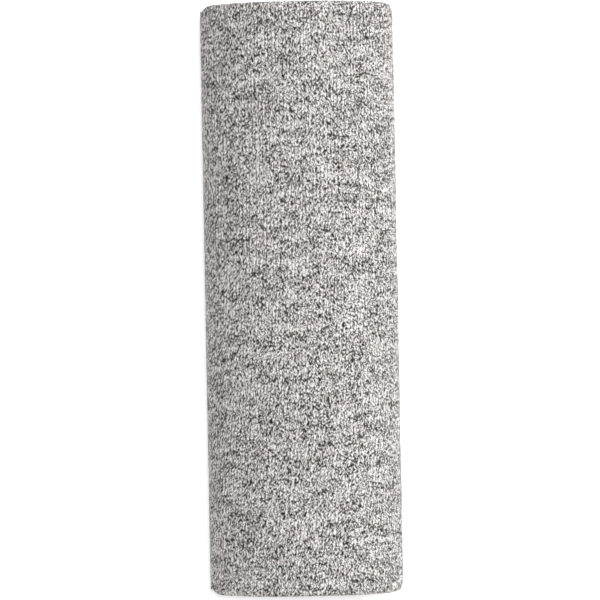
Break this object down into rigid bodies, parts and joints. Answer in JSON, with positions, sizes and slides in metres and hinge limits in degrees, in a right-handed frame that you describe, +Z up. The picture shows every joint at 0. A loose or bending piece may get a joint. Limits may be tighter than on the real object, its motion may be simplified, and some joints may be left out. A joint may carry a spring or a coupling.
{
  "type": "folded textile tyre sock",
  "caption": "Knitted textile tyre sock, folded like a book into an oval bundle that opens along one long edge.",
  "frame": {"origin": "middle of the underside that the bundle rests on", "axes": "+X across the bundle, away from the fold; +Y along it; +Z up through its front face"},
  "size_m": [0.0976, 0.298, 0.057],
  "materials": {
    "heather_knit": "heather grey plain knit",
    "folded_knit": "heather grey knit, folded plies",
    "side_panel": "dark woven polyester",
    "hem_casing": "ribbed black tape",
    "elastic": "braided elastic",
    "thread": "polyester sewing thread",
    "label": "satin woven label, blank"
  },
  "bodies": {
    "lower_pack": {"lower_wrap": "heather_knit", "lower_outboard_panel": "side_panel", "lower_inboard_panel": "side_panel", "lower_hem_casing": "hem_casing", "lower_elastic_band": "elastic", "lower_hem_stitching": "thread", "lower_seam_thread": "thread", "lower_leaf_1": "folded_knit", "lower_leaf_2": "folded_knit", "lower_leaf_3": "folded_knit", "lower_leaf_4": "folded_knit", "lower_leaf_5": "folded_knit", "label_tacks": "thread"},
    "upper_pack": {"upper_wrap": "heather_knit", "upper_outboard_panel": "side_panel", "upper_inboard_panel": "side_panel", "upper_hem_casing": "hem_casing", "upper_elastic_band": "elastic", "upper_hem_stitching": "thread", "upper_seam_thread": "thread", "upper_leaf_1": "folded_knit", "upper_leaf_2": "folded_knit", "upper_leaf_3": "folded_knit", "upper_leaf_4": "folded_knit", "upper_leaf_5": "folded_knit"},
    "label": {"sewn_label": "label"}
  },
  "joints": [
    {"name": "book_fold", "type": "hinge", "parent": "lower_pack", "child": "upper_pack", "pos_m": [-0.049, 0, 0.0285], "axis": [0, -1, 0], "range_deg": [0, 180]},
    {"name": "label_flap", "type": "hinge", "parent": "lower_pack", "child": "label", "pos_m": [0.0486, -0.095, 0.0207], "axis": [0, -1, 0], "range_deg": [-10, 100]}
  ]
}
